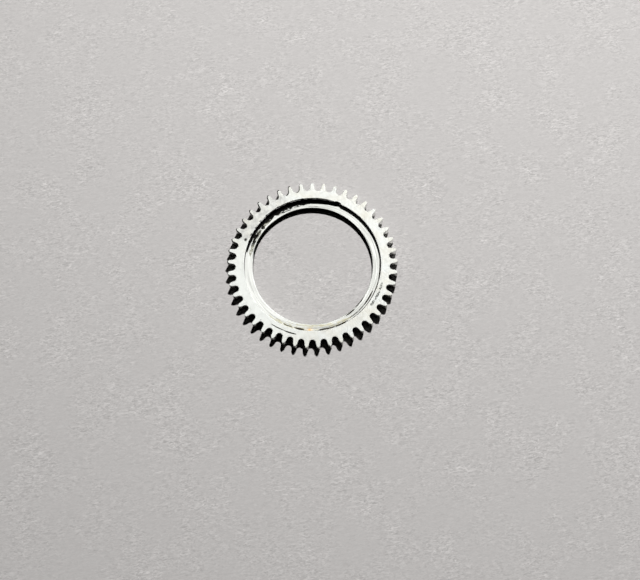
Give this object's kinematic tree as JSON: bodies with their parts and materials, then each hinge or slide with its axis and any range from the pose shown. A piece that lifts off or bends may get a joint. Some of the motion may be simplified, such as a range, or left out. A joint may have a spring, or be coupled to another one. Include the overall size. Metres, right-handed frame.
{
  "type": "watch crown wheel",
  "caption": "Flat steel ring gear for a watch's winding work, with ogive teeth round the rim and a stepped bore that seats on a round core.",
  "frame": {"origin": "centre of the underside, on the wheel's axis", "axes": "+Z along the wheel's axis, up out of the recess; +X through the middle of a tooth"},
  "size_m": [0.007, 0.007, 0.0006],
  "materials": {
    "hardened_steel": "hardened steel, flat faces finely ground and polished, teeth and bore as cut"
  },
  "bodies": {
    "root": {"crown_wheel": "hardened_steel"}
  },
  "joints": []
}
